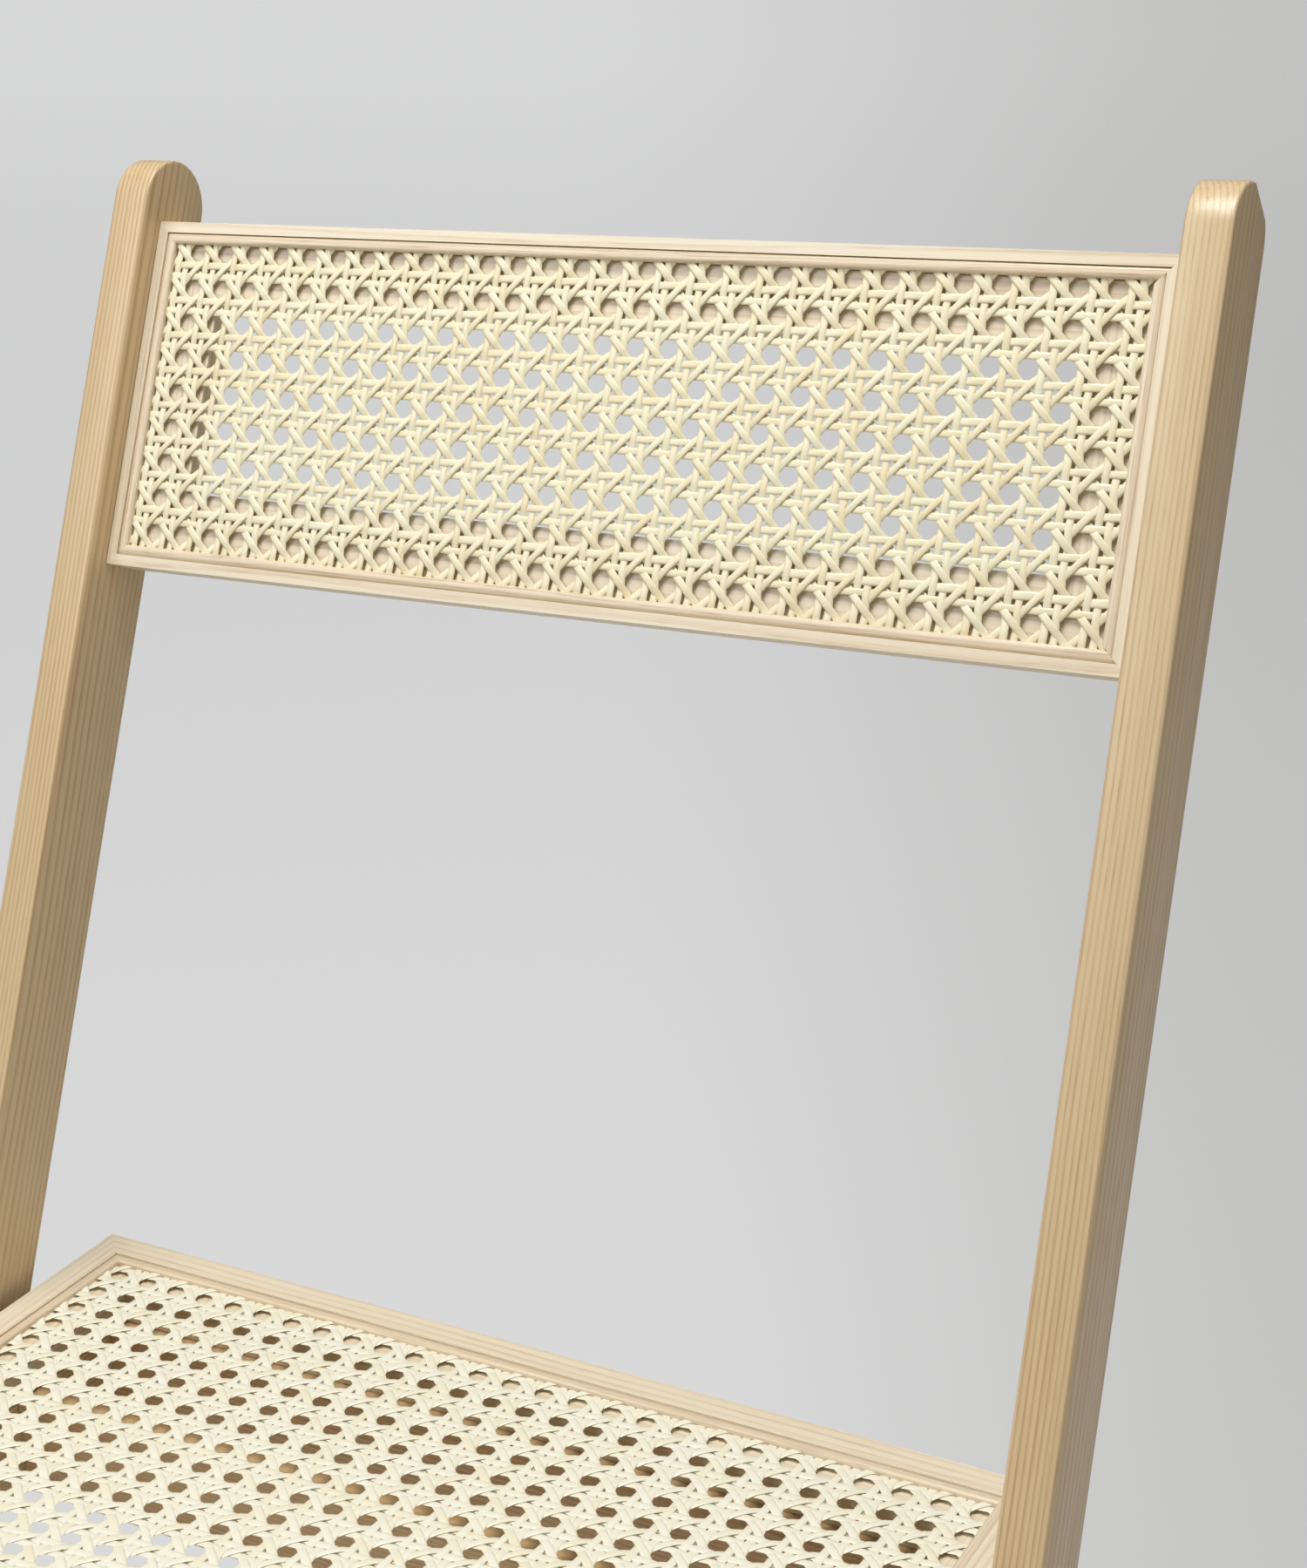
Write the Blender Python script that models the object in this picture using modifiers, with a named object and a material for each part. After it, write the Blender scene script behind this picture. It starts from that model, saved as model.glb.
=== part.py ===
"""Folding side chair: leaning wooden posts, a cane back panel, a cane seat and crossed rear legs.

Metres, +Z up. The chair faces -Y, and the origin is on the floor under the middle of its bounding box.
Three assemblies share two pivots: the back frame stands on its own front feet, the seat swings up
between the posts, and the rear legs swing forward until they lie along the posts.
"""

from math import atan2, cos, pi, radians, sin

import bmesh
import bpy
from mathutils import Matrix, Vector

GAP = 0.0003                    # clearance between two pieces that touch
MERGE = 0.00001                 # merge distance of a modifier

# Posts
POST_WIDTH = 0.015
POST_DEPTH = 0.034
POST_SPACING = 0.382            # clear width between the posts
POST_ABOVE_PIVOT = 0.4538       # seat pivot to the rounded top, along the post
POST_EDGE = 0.001
BACK_RECLINE = radians(22.7)    # post against the normal of the seat

# Seat
SEAT_TILT = radians(3.0)        # the rear edge is the lower one
SEAT_HEIGHT = 0.440             # top of the front edge above the floor
SEAT_FORE = 0.284               # pivot to the front edge
SEAT_AFT = 0.071                # pivot to the rear edge
SEAT_SIDE_GAP = 0.005           # seat edge to post

# Mitred frames that hold the cane
RAIL_WIDTH = 0.0285
RAIL_THICKNESS = 0.0145
RAIL_EDGE = 0.0008
LEDGE_DROP = 0.0036             # rim of a frame down to the ledge under the cane
GROOVE_DEPTH = 0.0035           # ledge down to the bottom of the spline groove
SEAT_LIP = 0.0107
BACK_LIP = 0.0049
MITRE_GAP = 0.00022

# Back panel
BACK_HEIGHT = 0.1266
BACK_BELOW_TOP = 0.0239         # rounded post top down to the top rail

# Cane webbing and the reed that wedges it
CANE_THICKNESS = 0.0016
CANE_TUCK = 0.0005              # thickness of the edge pressed into the groove
CANE_OPEN_SHARE = 0.48          # width of an opening against the spacing of the openings
BACK_OPENINGS = (12, 4)         # across the panel and up it
SEAT_OPENINGS = (12, 12)
REED_RADIUS = 0.0018
REED_SIDES = 12

# Bearers under the seat
BEARER_WIDTH = 0.015
BEARER_HEIGHT = 0.034
BEARER_EDGE = 0.001
APRON_THICKNESS = 0.015
APRON_TENON = 0.006             # the aprons' stub tenons, into the bearers
APRON_SHOULDER = 0.006          # apron edge to its tenon, above and below
BEARER_SET_BACK = 0.0135        # seat edge to the ends of the bearers and the front apron
REAR_APRON_SET_BACK = 0.024     # seat edge to the outer face of the rear apron
MIDDLE_RAIL_AHEAD = 0.011       # pivot to the middle of the cross rail
NOTCH_DEPTH = 0.005             # saddle in the bearers' lower edges, for the crossbar

# Rear legs
LEG_WIDTH = 0.015
LEG_DEPTH = 0.028
LEG_EDGE = 0.001
CROSSING_BELOW_PIVOT = 0.150    # seat pivot to leg pivot, along the post
REAR_FOOT_BEHIND = 0.1517       # seat pivot to the middle of the rear foot, along the floor

# Round bars
CROSSBAR_RADIUS = 0.010
STRETCHER_RADIUS = 0.009
TENON_RADIUS = 0.006
TENON_LENGTH = 0.010
FRONT_STRETCHER_HEIGHT = 0.091
REAR_STRETCHER_HEIGHT = 0.105

# Pivot hardware
BOLT_RADIUS = 0.003
BOLT_CLEARANCE = 0.0003
BOLT_HEAD_RADIUS = 0.0075
BOLT_HEAD_HEIGHT = 0.0025
SPACER_RADIUS = 0.006
INSERT_RADIUS = 0.0048
INSERT_LENGTH = 0.012
WASHER_RADIUS = 0.009
WASHER_THICKNESS = 0.0012
NUT_RADIUS = 0.0065
NUT_HEIGHT = 0.0045
NUT_BORE = 0.0027
NUT_CROWN = 0.9                 # height of the dome's shoulder against the whole nut

# Hidden fixings
DOWEL_RADIUS = 0.0025
DOWEL_LENGTH = 0.024
DOWEL_IN_POST = 0.010
DOWEL_INSET = 0.0039            # back face of the panel to the dowels' middle, clear of the groove
SCREW_RADIUS = 0.0018
SCREW_HEAD_RADIUS = 0.0036
SCREW_HEAD_HEIGHT = 0.0022
SCREW_LENGTH = 0.043
SCREW_INSET = 0.045             # seat edge to the first and last screws
SCREW_SHIFT = 0.030             # middle screw, behind the midpoint of the other two

# Glides under the feet
GLIDE_RADIUS = 0.0062
GLIDE_HEIGHT = 0.003
GLIDE_PIN_RADIUS = 0.0015
GLIDE_PIN_LENGTH = 0.012
GLIDE_RIM = 0.001

# Worked out from the sizes above
GROOVE_WIDTH = 2 * REED_RADIUS + 3 * GAP + CANE_TUCK
POST_LEAN = BACK_RECLINE + SEAT_TILT
POST_MIDDLE = POST_SPACING / 2 + POST_WIDTH / 2
SEAT_WIDTH = POST_SPACING - 2 * SEAT_SIDE_GAP
SEAT_DEPTH = SEAT_FORE + SEAT_AFT
BEARER_TOP = BEARER_HEIGHT / 2
RIM_ABOVE_PIVOT = BEARER_TOP + GAP + RAIL_THICKNESS
LEG_OUTSIDE = POST_SPACING / 2 - WASHER_THICKNESS - 2 * GAP
LEG_INSIDE = LEG_OUTSIDE - LEG_WIDTH
BEARER_OUTSIDE = LEG_INSIDE - WASHER_THICKNESS - 2 * GAP
BEARER_INSIDE = BEARER_OUTSIDE - BEARER_WIDTH
BACK_TOP = POST_ABOVE_PIVOT - BACK_BELOW_TOP
BACK_MIDDLE = BACK_TOP - BACK_HEIGHT / 2
FOOT_CUT = GLIDE_HEIGHT + GAP   # height of the sawn feet above the floor
HOLE_RADIUS = BOLT_RADIUS + BOLT_CLEARANCE
SIDES = (("left", -1), ("right", 1))

PIVOT_HEIGHT = SEAT_HEIGHT - RIM_ABOVE_PIVOT * cos(SEAT_TILT) - SEAT_FORE * sin(SEAT_TILT)
CROSSING_HEIGHT = PIVOT_HEIGHT - CROSSING_BELOW_PIVOT * cos(POST_LEAN)
CROSSING_AHEAD = CROSSING_BELOW_PIVOT * sin(POST_LEAN)
LEG_LEAN = atan2(REAR_FOOT_BEHIND + CROSSING_AHEAD, CROSSING_HEIGHT)

# The box's front is the seat's front edge and its back is the rounded post tops.
FRONT_REACH = SEAT_FORE * cos(SEAT_TILT) - (BEARER_TOP + GAP) * sin(SEAT_TILT)
BACK_REACH = (POST_ABOVE_PIVOT - POST_DEPTH / 2) * sin(POST_LEAN) + POST_DEPTH / 2
PIVOT_Y = (FRONT_REACH - BACK_REACH) / 2

# Place of the crossbar: on the leg's middle line, in the saddles of the bearers, in the seat's frame.
CROSSBAR_DROP = BEARER_HEIGHT / 2 + GAP + CROSSBAR_RADIUS - NOTCH_DEPTH
LEG_TO_SEAT = LEG_LEAN + SEAT_TILT
CROSSING_IN_SEAT_Y = -CROSSING_BELOW_PIVOT * sin(BACK_RECLINE)
CROSSING_IN_SEAT_Z = -CROSSING_BELOW_PIVOT * cos(BACK_RECLINE)
CROSSBAR_ALONG_LEG = (-CROSSBAR_DROP - CROSSING_IN_SEAT_Z) / cos(LEG_TO_SEAT)
CROSSBAR_IN_SEAT_Y = CROSSING_IN_SEAT_Y - CROSSBAR_ALONG_LEG * sin(LEG_TO_SEAT)

ASH = ("ash_wood", (0.80, 0.66, 0.46), 0.38, 0.0)
CANE = ("cane", (0.88, 0.80, 0.56), 0.42, 0.0)
REED = ("reed", (0.80, 0.64, 0.46), 0.25, 0.0)
STEEL = ("zinc_steel", (0.62, 0.62, 0.60), 0.35, 1.0)
NYLON = ("nylon", (0.82, 0.80, 0.74), 0.45, 0.0)


def clear_scene():
    for obj in list(bpy.data.objects):
        bpy.data.objects.remove(obj, do_unlink=True)


def collection(name):
    group = bpy.data.collections.new(name)
    bpy.context.scene.collection.children.link(group)
    return group


def material(finish):
    name, colour, roughness, metallic = finish
    found = bpy.data.materials.get(name)
    if found:
        return found
    made = bpy.data.materials.new(name)
    made.use_nodes = True
    shader = made.node_tree.nodes["Principled BSDF"]
    shader.inputs["Base Color"].default_value = (*colour, 1.0)
    shader.inputs["Roughness"].default_value = roughness
    shader.inputs["Metallic"].default_value = metallic
    return made


def empty(name, location, lean):
    """A body's frame: its origin is on the pivot, and it is turned about X."""
    frame = bpy.data.objects.new(name, None)
    frame.location = location
    frame.rotation_euler = (lean, 0.0, 0.0)
    frame.empty_display_size = 0.03
    PARTS.objects.link(frame)
    return frame


def place(obj, parent, location=(0, 0, 0), rotation=(0, 0, 0), finish=None):
    obj.parent = parent
    obj.location = location
    obj.rotation_euler = rotation
    if finish:
        obj.data.materials.clear()
        obj.data.materials.append(material(finish))
    return obj


def mesh_object(name, mesh, group=None):
    obj = bpy.data.objects.new(name, mesh)
    (group or PARTS).objects.link(obj)
    return obj


def smooth(obj, angle=35):
    obj.data.shade_smooth()
    obj.data.set_sharp_from_angle(angle=radians(angle))


def bevel(obj, width, segments=2, weighted=False):
    mod = obj.modifiers.new("Eased edges", "BEVEL")
    mod.width = width
    mod.segments = segments
    mod.limit_method = "WEIGHT" if weighted else "ANGLE"
    mod.angle_limit = radians(40)
    mod.use_clamp_overlap = True


def box(name, size, group=None):
    mesh = bpy.data.meshes.new(name)
    form = bmesh.new()
    bmesh.ops.create_cube(form, size=1.0)
    bmesh.ops.scale(form, vec=Vector(size), verts=form.verts)
    form.to_mesh(mesh)
    form.free()
    return mesh_object(name, mesh, group)


def cylinder(name, radius, length, sides=16, group=None, upright=False):
    """A round bar along X, or along Z if upright, centred on its own origin."""
    mesh = bpy.data.meshes.new(name)
    form = bmesh.new()
    turn = Matrix() if upright else Matrix.Rotation(pi / 2, 4, "Y")
    bmesh.ops.create_cone(form, cap_ends=True, segments=sides, radius1=radius, radius2=radius,
                          depth=length, matrix=turn)
    form.to_mesh(mesh)
    form.free()
    return mesh_object(name, mesh, group)


def turned(name, profile, sides=20, closed=False, group=None):
    """A turned piece about its own Z: the profile lists radius and height, from the top down."""
    mesh = bpy.data.meshes.new(name)
    points = [(radius, 0.0, height) for radius, height in profile]
    edges = [(i, i + 1) for i in range(len(points) - 1)]
    if closed:
        edges.append((len(points) - 1, 0))
    mesh.from_pydata(points, edges, [])
    obj = mesh_object(name, mesh, group)
    mod = obj.modifiers.new("Turned", "SCREW")
    mod.steps = sides
    mod.render_steps = sides
    mod.use_merge_vertices = True
    mod.merge_threshold = MERGE
    mod.use_smooth_shade = False
    return obj


def extruded(name, outline, length, group=None):
    """A flat outline in Y and Z, drawn as a filled curve and extruded along X."""
    curve = bpy.data.curves.new(name, "CURVE")
    curve.dimensions = "2D"
    curve.fill_mode = "BOTH"
    curve.extrude = length / 2
    spline = curve.splines.new("POLY")
    spline.points.add(len(outline) - 1)
    for point, (y, z) in zip(spline.points, outline):
        point.co = (y, z, 0.0, 1.0)
    spline.use_cyclic_u = True
    drawing = bpy.data.objects.new(name + "_drawing", curve)
    bpy.context.scene.collection.objects.link(drawing)
    bpy.context.view_layer.update()
    evaluated = drawing.evaluated_get(bpy.context.evaluated_depsgraph_get())
    mesh = bpy.data.meshes.new_from_object(evaluated)
    mesh.name = name
    bpy.data.objects.remove(drawing, do_unlink=True)
    form = bmesh.new()
    form.from_mesh(mesh)
    bmesh.ops.remove_doubles(form, verts=form.verts, dist=MERGE)
    bmesh.ops.recalc_face_normals(form, faces=form.faces)
    form.to_mesh(mesh)
    form.free()
    mesh.transform(Matrix(((0, 0, 1, 0), (1, 0, 0, 0), (0, 1, 0, 0), (0, 0, 0, 1))))
    return mesh_object(name, mesh, group)


def arc(centre_y, centre_z, radius, start, end, steps):
    """Points round an arc in Y and Z; angles run from +Y towards +Z."""
    angles = [start + (end - start) * i / steps for i in range(steps + 1)]
    return [(centre_y + radius * cos(a), centre_z + radius * sin(a)) for a in angles]


def cut(obj, cutters):
    """Takes each cutter out of the piece. A cutter is placed in the frame of the piece's parent."""
    for i, cutter in enumerate(cutters):
        cutter.name = f"cut_{obj.name}_{i + 1}"
        cutter.hide_render = True
        cutter.display_type = "WIRE"
        mod = obj.modifiers.new("Cut", "BOOLEAN")
        mod.operation = "DIFFERENCE"
        mod.solver = "EXACT"
        mod.object = cutter


def bore(parent, radius, length, x, y, z, sides=16):
    """A cutter for a hole along X."""
    return place(cylinder("bore", radius, length, sides, CUTTERS), parent, (x, y, z))


def post_and_leg_outline(depth, top, lean, pivot_height):
    """Side view of a post or leg: a half-round top, straight sides and a foot sawn level.

    The piece's own Z runs up its middle line and passes through the pivot at the origin.
    """
    half = depth / 2
    outline = arc(0.0, top - half, half, 0.0, pi, 14)
    for y in (-half, half):
        drop = (pivot_height - FOOT_CUT - y * sin(lean)) / cos(lean)
        outline.append((y, -drop))
    return outline


def rail_profile(lip):
    """Section of a frame rail: distance in from the outer edge, and height over the back face."""
    ledge = RAIL_THICKNESS - LEDGE_DROP
    inner = lip + GROOVE_WIDTH
    return [(0.0, 0.0), (RAIL_WIDTH, 0.0), (RAIL_WIDTH, ledge), (inner, ledge),
            (inner, ledge - GROOVE_DEPTH), (lip, ledge - GROOVE_DEPTH),
            (lip, RAIL_THICKNESS), (0.0, RAIL_THICKNESS)]


def mitre(obj, length):
    """Saws both ends at 45 degrees: a point that lies further in ends sooner."""
    for vertex in obj.data.vertices:
        reach = length / 2 - vertex.co.y - MITRE_GAP / 2
        vertex.co.x = reach if vertex.co.x > 0 else -reach


def weight_long_edges(obj):
    """Marks the edges along the rail, so that Bevel eases them and leaves the mitres sharp."""
    mesh = obj.data
    weights = mesh.attributes.new("bevel_weight_edge", "FLOAT", "EDGE")
    groove_floor = RAIL_THICKNESS - LEDGE_DROP - GROOVE_DEPTH
    for edge in mesh.edges:
        a, b = (mesh.vertices[i].co for i in edge.vertices)
        along = (a.y - b.y) ** 2 + (a.z - b.z) ** 2 < MERGE ** 2
        if along and abs(a.z - groove_floor) > MERGE:
            weights.data[edge.index].value = 1.0


def mitred_frame(prefix, names, parent, width, height, lip, centre_y, turn):
    """Four mitred rails and four reed splines. The frame lies in X and Y, with its rim up."""
    pieces = {}
    offsets = {"near": (0, -1), "far": (0, 1), "left": (-1, 0), "right": (1, 0)}
    for where, (sx, sy) in offsets.items():
        length = width if sx == 0 else height
        angle = {"near": 0.0, "right": pi / 2, "far": pi, "left": -pi / 2}[where]
        location = turn @ Vector((sx * width / 2, sy * height / 2 + centre_y, -RAIL_THICKNESS))
        rotation = (turn @ Matrix.Rotation(angle, 4, "Z")).to_euler()
        rail = extruded(f"{prefix}_rail_{names[where]}", rail_profile(lip), length)
        mitre(rail, length)
        weight_long_edges(rail)
        bevel(rail, RAIL_EDGE, 2, weighted=True)
        pieces[where] = place(rail, parent, location, rotation, ASH)

        middle = lip + GAP + REED_RADIUS
        height_in = RAIL_THICKNESS - LEDGE_DROP + CANE_THICKNESS - REED_RADIUS
        last = REED_SIDES - 1
        round_reed = arc(middle, height_in, REED_RADIUS, 0.0, 2 * pi * last / REED_SIDES, last)
        reed = extruded(f"{prefix}_spline_{names[where]}", round_reed, length)
        mitre(reed, length)
        smooth(reed, 50)
        place(reed, parent, location, rotation, REED)
    return pieces


def grid_cutter(name, spacing, counts, height):
    """Square openings in rows and columns, centred on the object's origin."""
    opening = CANE_OPEN_SHARE * min(spacing)
    cutter = box(name, (opening, opening, height), CUTTERS)
    start = [-gap * (count - 1) / 2 for gap, count in zip(spacing, counts)]
    cutter.data.transform(Matrix.Translation((*start, 0.0)))
    for axis in range(2):
        mod = cutter.modifiers.new("Repeat", "ARRAY")
        mod.count = counts[axis]
        mod.use_relative_offset = False
        mod.use_constant_offset = True
        mod.constant_offset_displace = [spacing[axis] if i == axis else 0.0 for i in range(3)]
    return cutter


def cane_sheet(name, parent, width, height, lip, centre_y, turn, openings):
    """The webbing as one sheet with square openings; its edges turn down into the groove."""
    inset = lip + GROOVE_WIDTH - GAP - CANE_TUCK
    tuck_depth = GROOVE_DEPTH / 2
    size = (width - 2 * inset, height - 2 * inset)
    top = -LEDGE_DROP + GAP + CANE_THICKNESS
    bottom = -LEDGE_DROP - tuck_depth
    sheet = box(name, (*size, top - bottom))
    location = turn @ Vector((0, centre_y, (top + bottom) / 2))
    place(sheet, parent, location, turn.to_euler(), CANE)
    hollow = box("hollow", (size[0] - 2 * CANE_TUCK, size[1] - 2 * CANE_TUCK, top - bottom), CUTTERS)
    below = turn @ Vector((0, centre_y, (top + bottom) / 2 - CANE_THICKNESS))
    spacing = [(length - 2 * CANE_TUCK) / count for length, count in zip(size, openings)]
    grid = grid_cutter("grid", spacing, openings, 2 * (top - bottom))
    cut(sheet, [place(hollow, parent, below, turn.to_euler()),
                place(grid, parent, location, turn.to_euler())])
    return sheet


def dowel(name, parent, spot):
    return place(cylinder(name, DOWEL_RADIUS, DOWEL_LENGTH, 12), parent, spot, finish=ASH)


def dowel_hole(parent, spot):
    return bore(parent, DOWEL_RADIUS + GAP, DOWEL_LENGTH + 2 * GAP, *spot, 12)


def screw(name, parent, spot):
    """A countersunk screw that points up, with its head's flat face at the spot."""
    profile = [(0.0, SCREW_LENGTH), (SCREW_RADIUS, SCREW_LENGTH - SCREW_RADIUS),
               (SCREW_RADIUS, SCREW_HEAD_HEIGHT), (SCREW_HEAD_RADIUS, 0.0), (0.0, 0.0)]
    piece = turned(name, profile, 12)
    smooth(piece)
    return place(piece, parent, spot, finish=STEEL)


def screw_hole(parent, spot):
    """Cutter for a countersunk screw, with clearance round the head and the shank."""
    shank = SCREW_RADIUS + GAP
    head = SCREW_HEAD_RADIUS + GAP
    profile = [(0.0, SCREW_LENGTH + GAP), (shank, SCREW_LENGTH + GAP), (shank, SCREW_HEAD_HEIGHT),
               (head, 0.0), (head, -2 * GAP), (0.0, -2 * GAP)]
    return place(turned("screw_hole", profile, 12, group=CUTTERS), parent, spot)


def pivot_bolt(name, parent, side, outside, reach, y, z):
    """Low round head on the outside of a post, with a shank that runs inwards along X."""
    dome = [(BOLT_HEAD_RADIUS * cos(a), GAP + BOLT_HEAD_HEIGHT * sin(a)) for a in (pi / 3, pi / 6, 0)]
    profile = [(0.0, GAP + BOLT_HEAD_HEIGHT), *dome, (BOLT_RADIUS, GAP), (BOLT_RADIUS, -reach),
               (0.0, -reach)]
    bolt = turned(name, profile, 20)
    smooth(bolt)
    return place(bolt, parent, (side * outside, y, z), (0, side * pi / 2, 0), STEEL)


def ring(name, parent, outer, length, middle_x, y, z, finish):
    """A washer, spacer or sleeve round the pivot bolt, along X."""
    inner = HOLE_RADIUS
    half = length / 2
    profile = [(outer, half), (outer, -half), (inner, -half), (inner, half)]
    piece = turned(name, profile, 20, closed=True)
    smooth(piece)
    return place(piece, parent, (middle_x, y, z), (0, pi / 2, 0), finish)


def cap_nut(name, parent, side, face, y, z):
    """A domed nut on the inner face of a rear leg; its blind bore takes the bolt's end."""
    profile = [(0.0, -NUT_BORE), (HOLE_RADIUS, -NUT_BORE), (HOLE_RADIUS, 0.0), (NUT_RADIUS, 0.0),
               (NUT_RADIUS, -NUT_HEIGHT / 2), (NUT_RADIUS / 2, -NUT_HEIGHT * NUT_CROWN),
               (0.0, -NUT_HEIGHT)]
    nut = turned(name, profile, 20)
    smooth(nut)
    return place(nut, parent, (side * (face - GAP), y, z), (0, side * pi / 2, 0), STEEL)


def glide(name, parent, x, y, z, lean):
    """A nylon disc that meets the floor, with a pin driven up into the foot."""
    profile = [(0.0, GLIDE_PIN_LENGTH), (GLIDE_PIN_RADIUS, GLIDE_PIN_LENGTH),
               (GLIDE_PIN_RADIUS, GLIDE_HEIGHT), (GLIDE_RADIUS, GLIDE_HEIGHT),
               (GLIDE_RADIUS, GLIDE_RIM), (GLIDE_RADIUS - GLIDE_RIM, 0.0), (0.0, 0.0)]
    disc = turned(name, profile, 20)
    smooth(disc)
    return place(disc, parent, (x, y, z), (-lean, 0, 0), NYLON)


def glide_hole(parent, x, y, z, lean):
    length = 2 * (GLIDE_PIN_LENGTH + GAP)
    hole = cylinder("glide_hole", GLIDE_PIN_RADIUS + GAP, length, 12, CUTTERS, upright=True)
    return place(hole, parent, (x, y, z), (-lean, 0, 0))


def round_bar(name, parent, radius, clear_width, y, z, finish):
    """A bar between two posts or legs, with a thinner tenon turned on each end."""
    shoulder = clear_width / 2 - GAP
    end = clear_width / 2 + TENON_LENGTH
    profile = [(0.0, end), (TENON_RADIUS, end), (TENON_RADIUS, shoulder), (radius, shoulder),
               (radius, -shoulder), (TENON_RADIUS, -shoulder), (TENON_RADIUS, -end), (0.0, -end)]
    bar = turned(name, profile, 24)
    smooth(bar)
    return place(bar, parent, (0, y, z), (0, pi / 2, 0), finish)


def tenon_hole(parent, side, face, y, z):
    depth = TENON_LENGTH + GAP
    return bore(parent, TENON_RADIUS + GAP, 2 * depth, side * face, y, z, 20)


def foot_point(lean, pivot_height):
    """Where the middle line of a post or leg meets the floor, in its own frame."""
    return -pivot_height / cos(lean)


def back_panel_dowel_spots():
    reach = POST_SPACING / 2 + DOWEL_IN_POST - DOWEL_LENGTH / 2
    heights = (("lower", -1), ("upper", 1))
    y = RAIL_THICKNESS / 2 - DOWEL_INSET
    return {f"{height}_{name}": (side * reach, y, BACK_MIDDLE + up * (BACK_HEIGHT / 2 - RAIL_WIDTH))
            for name, side in SIDES for height, up in heights}


def build_back_frame():
    """Posts, cane panel, front stretcher and everything that stays on them."""
    frame = empty("back_frame", (0, PIVOT_Y, PIVOT_HEIGHT), -POST_LEAN)
    foot = foot_point(POST_LEAN, PIVOT_HEIGHT)
    stretcher_z = -(PIVOT_HEIGHT - FRONT_STRETCHER_HEIGHT) / cos(POST_LEAN)
    dowels = back_panel_dowel_spots()
    for name, side in SIDES:
        outline = post_and_leg_outline(POST_DEPTH, POST_ABOVE_PIVOT, POST_LEAN, PIVOT_HEIGHT)
        post = place(extruded(f"post_{name}", outline, POST_WIDTH), frame, (side * POST_MIDDLE, 0, 0),
                     finish=ASH)
        bevel(post, POST_EDGE, 3)
        smooth(post)
        through = 2 * POST_WIDTH
        holes = [bore(frame, HOLE_RADIUS, through, side * POST_MIDDLE, 0, 0),
                 bore(frame, HOLE_RADIUS, through, side * POST_MIDDLE, 0, -CROSSING_BELOW_PIVOT),
                 tenon_hole(frame, side, POST_SPACING / 2, 0, stretcher_z),
                 glide_hole(frame, side * POST_MIDDLE, 0, foot, -POST_LEAN)]
        holes += [dowel_hole(frame, spot) for spot in dowels.values() if spot[0] * side > 0]
        cut(post, holes)
        glide(f"front_glide_{name}", frame, side * POST_MIDDLE, 0, foot, -POST_LEAN)

        outside = POST_SPACING / 2 + POST_WIDTH
        pivot_bolt(f"seat_pivot_bolt_{name}", frame, side, outside,
                   outside - BEARER_OUTSIDE + INSERT_LENGTH - GAP, 0, 0)
        spacer = POST_SPACING / 2 - BEARER_OUTSIDE - 2 * GAP
        ring(f"seat_pivot_spacer_{name}", frame, SPACER_RADIUS, spacer,
             side * (POST_SPACING / 2 + BEARER_OUTSIDE) / 2, 0, 0, STEEL)
        pivot_bolt(f"leg_pivot_bolt_{name}", frame, side, outside, outside - LEG_INSIDE + NUT_BORE,
                   0, -CROSSING_BELOW_PIVOT)
        ring(f"leg_pivot_washer_{name}", frame, WASHER_RADIUS, WASHER_THICKNESS,
             side * (POST_SPACING / 2 + LEG_OUTSIDE) / 2, 0, -CROSSING_BELOW_PIVOT, NYLON)

    round_bar("front_stretcher", frame, STRETCHER_RADIUS, POST_SPACING, 0, stretcher_z, ASH)

    turn = Matrix.Rotation(pi / 2, 4, "X")
    rim = Matrix.Translation((0, -RAIL_THICKNESS / 2, BACK_MIDDLE)) @ turn
    width = POST_SPACING - 2 * GAP
    names = {"near": "bottom", "far": "top", "left": "left", "right": "right"}
    rails = mitred_frame("back", names, frame, width, BACK_HEIGHT, BACK_LIP, 0.0, rim)
    cane_sheet("back_cane", frame, width, BACK_HEIGHT, BACK_LIP, 0.0, rim, BACK_OPENINGS)
    for name, side in SIDES:
        cut(rails[name], [dowel_hole(frame, spot) for spot in dowels.values() if spot[0] * side > 0])
    for name, spot in dowels.items():
        dowel(f"back_dowel_{name}", frame, spot)


def seat_screw_spots():
    """Three screws in each bearer, from below, with their heads just inside the wood."""
    x = (BEARER_INSIDE + BEARER_OUTSIDE) / 2
    front = -SEAT_FORE + SCREW_INSET
    rear = SEAT_AFT - SCREW_INSET
    rows = {"front": front, "middle": (front + rear) / 2 + SCREW_SHIFT, "rear": rear}
    return {f"{row}_{name}": (side * x, y, -BEARER_HEIGHT / 2 + GAP)
            for name, side in SIDES for row, y in rows.items()}


def apron(name, parent, y):
    """A board on edge between the bearers, with a stub tenon at each end."""
    length = 2 * (BEARER_INSIDE - GAP)
    board = box(name, (length, APRON_THICKNESS, BEARER_HEIGHT))
    place(board, parent, (0, y, 0), finish=ASH)
    tenon_height = BEARER_HEIGHT - 2 * APRON_SHOULDER
    tenon_size = (length + 2 * APRON_TENON, APRON_THICKNESS - APRON_SHOULDER, tenon_height)
    tenon = box(f"join_{name}", tenon_size, CUTTERS)
    place(tenon, parent, (0, y, 0))
    tenon.hide_render = True
    tenon.display_type = "WIRE"
    mod = board.modifiers.new("Tenons", "BOOLEAN")
    mod.operation = "UNION"
    mod.solver = "EXACT"
    mod.object = tenon


def apron_mortise(parent, side, y):
    size = (2 * (APRON_TENON + GAP), APRON_THICKNESS - APRON_SHOULDER + 2 * GAP,
            BEARER_HEIGHT - 2 * APRON_SHOULDER + 2 * GAP)
    return place(box("mortise", size, CUTTERS), parent, (side * BEARER_INSIDE, y, 0))


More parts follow.
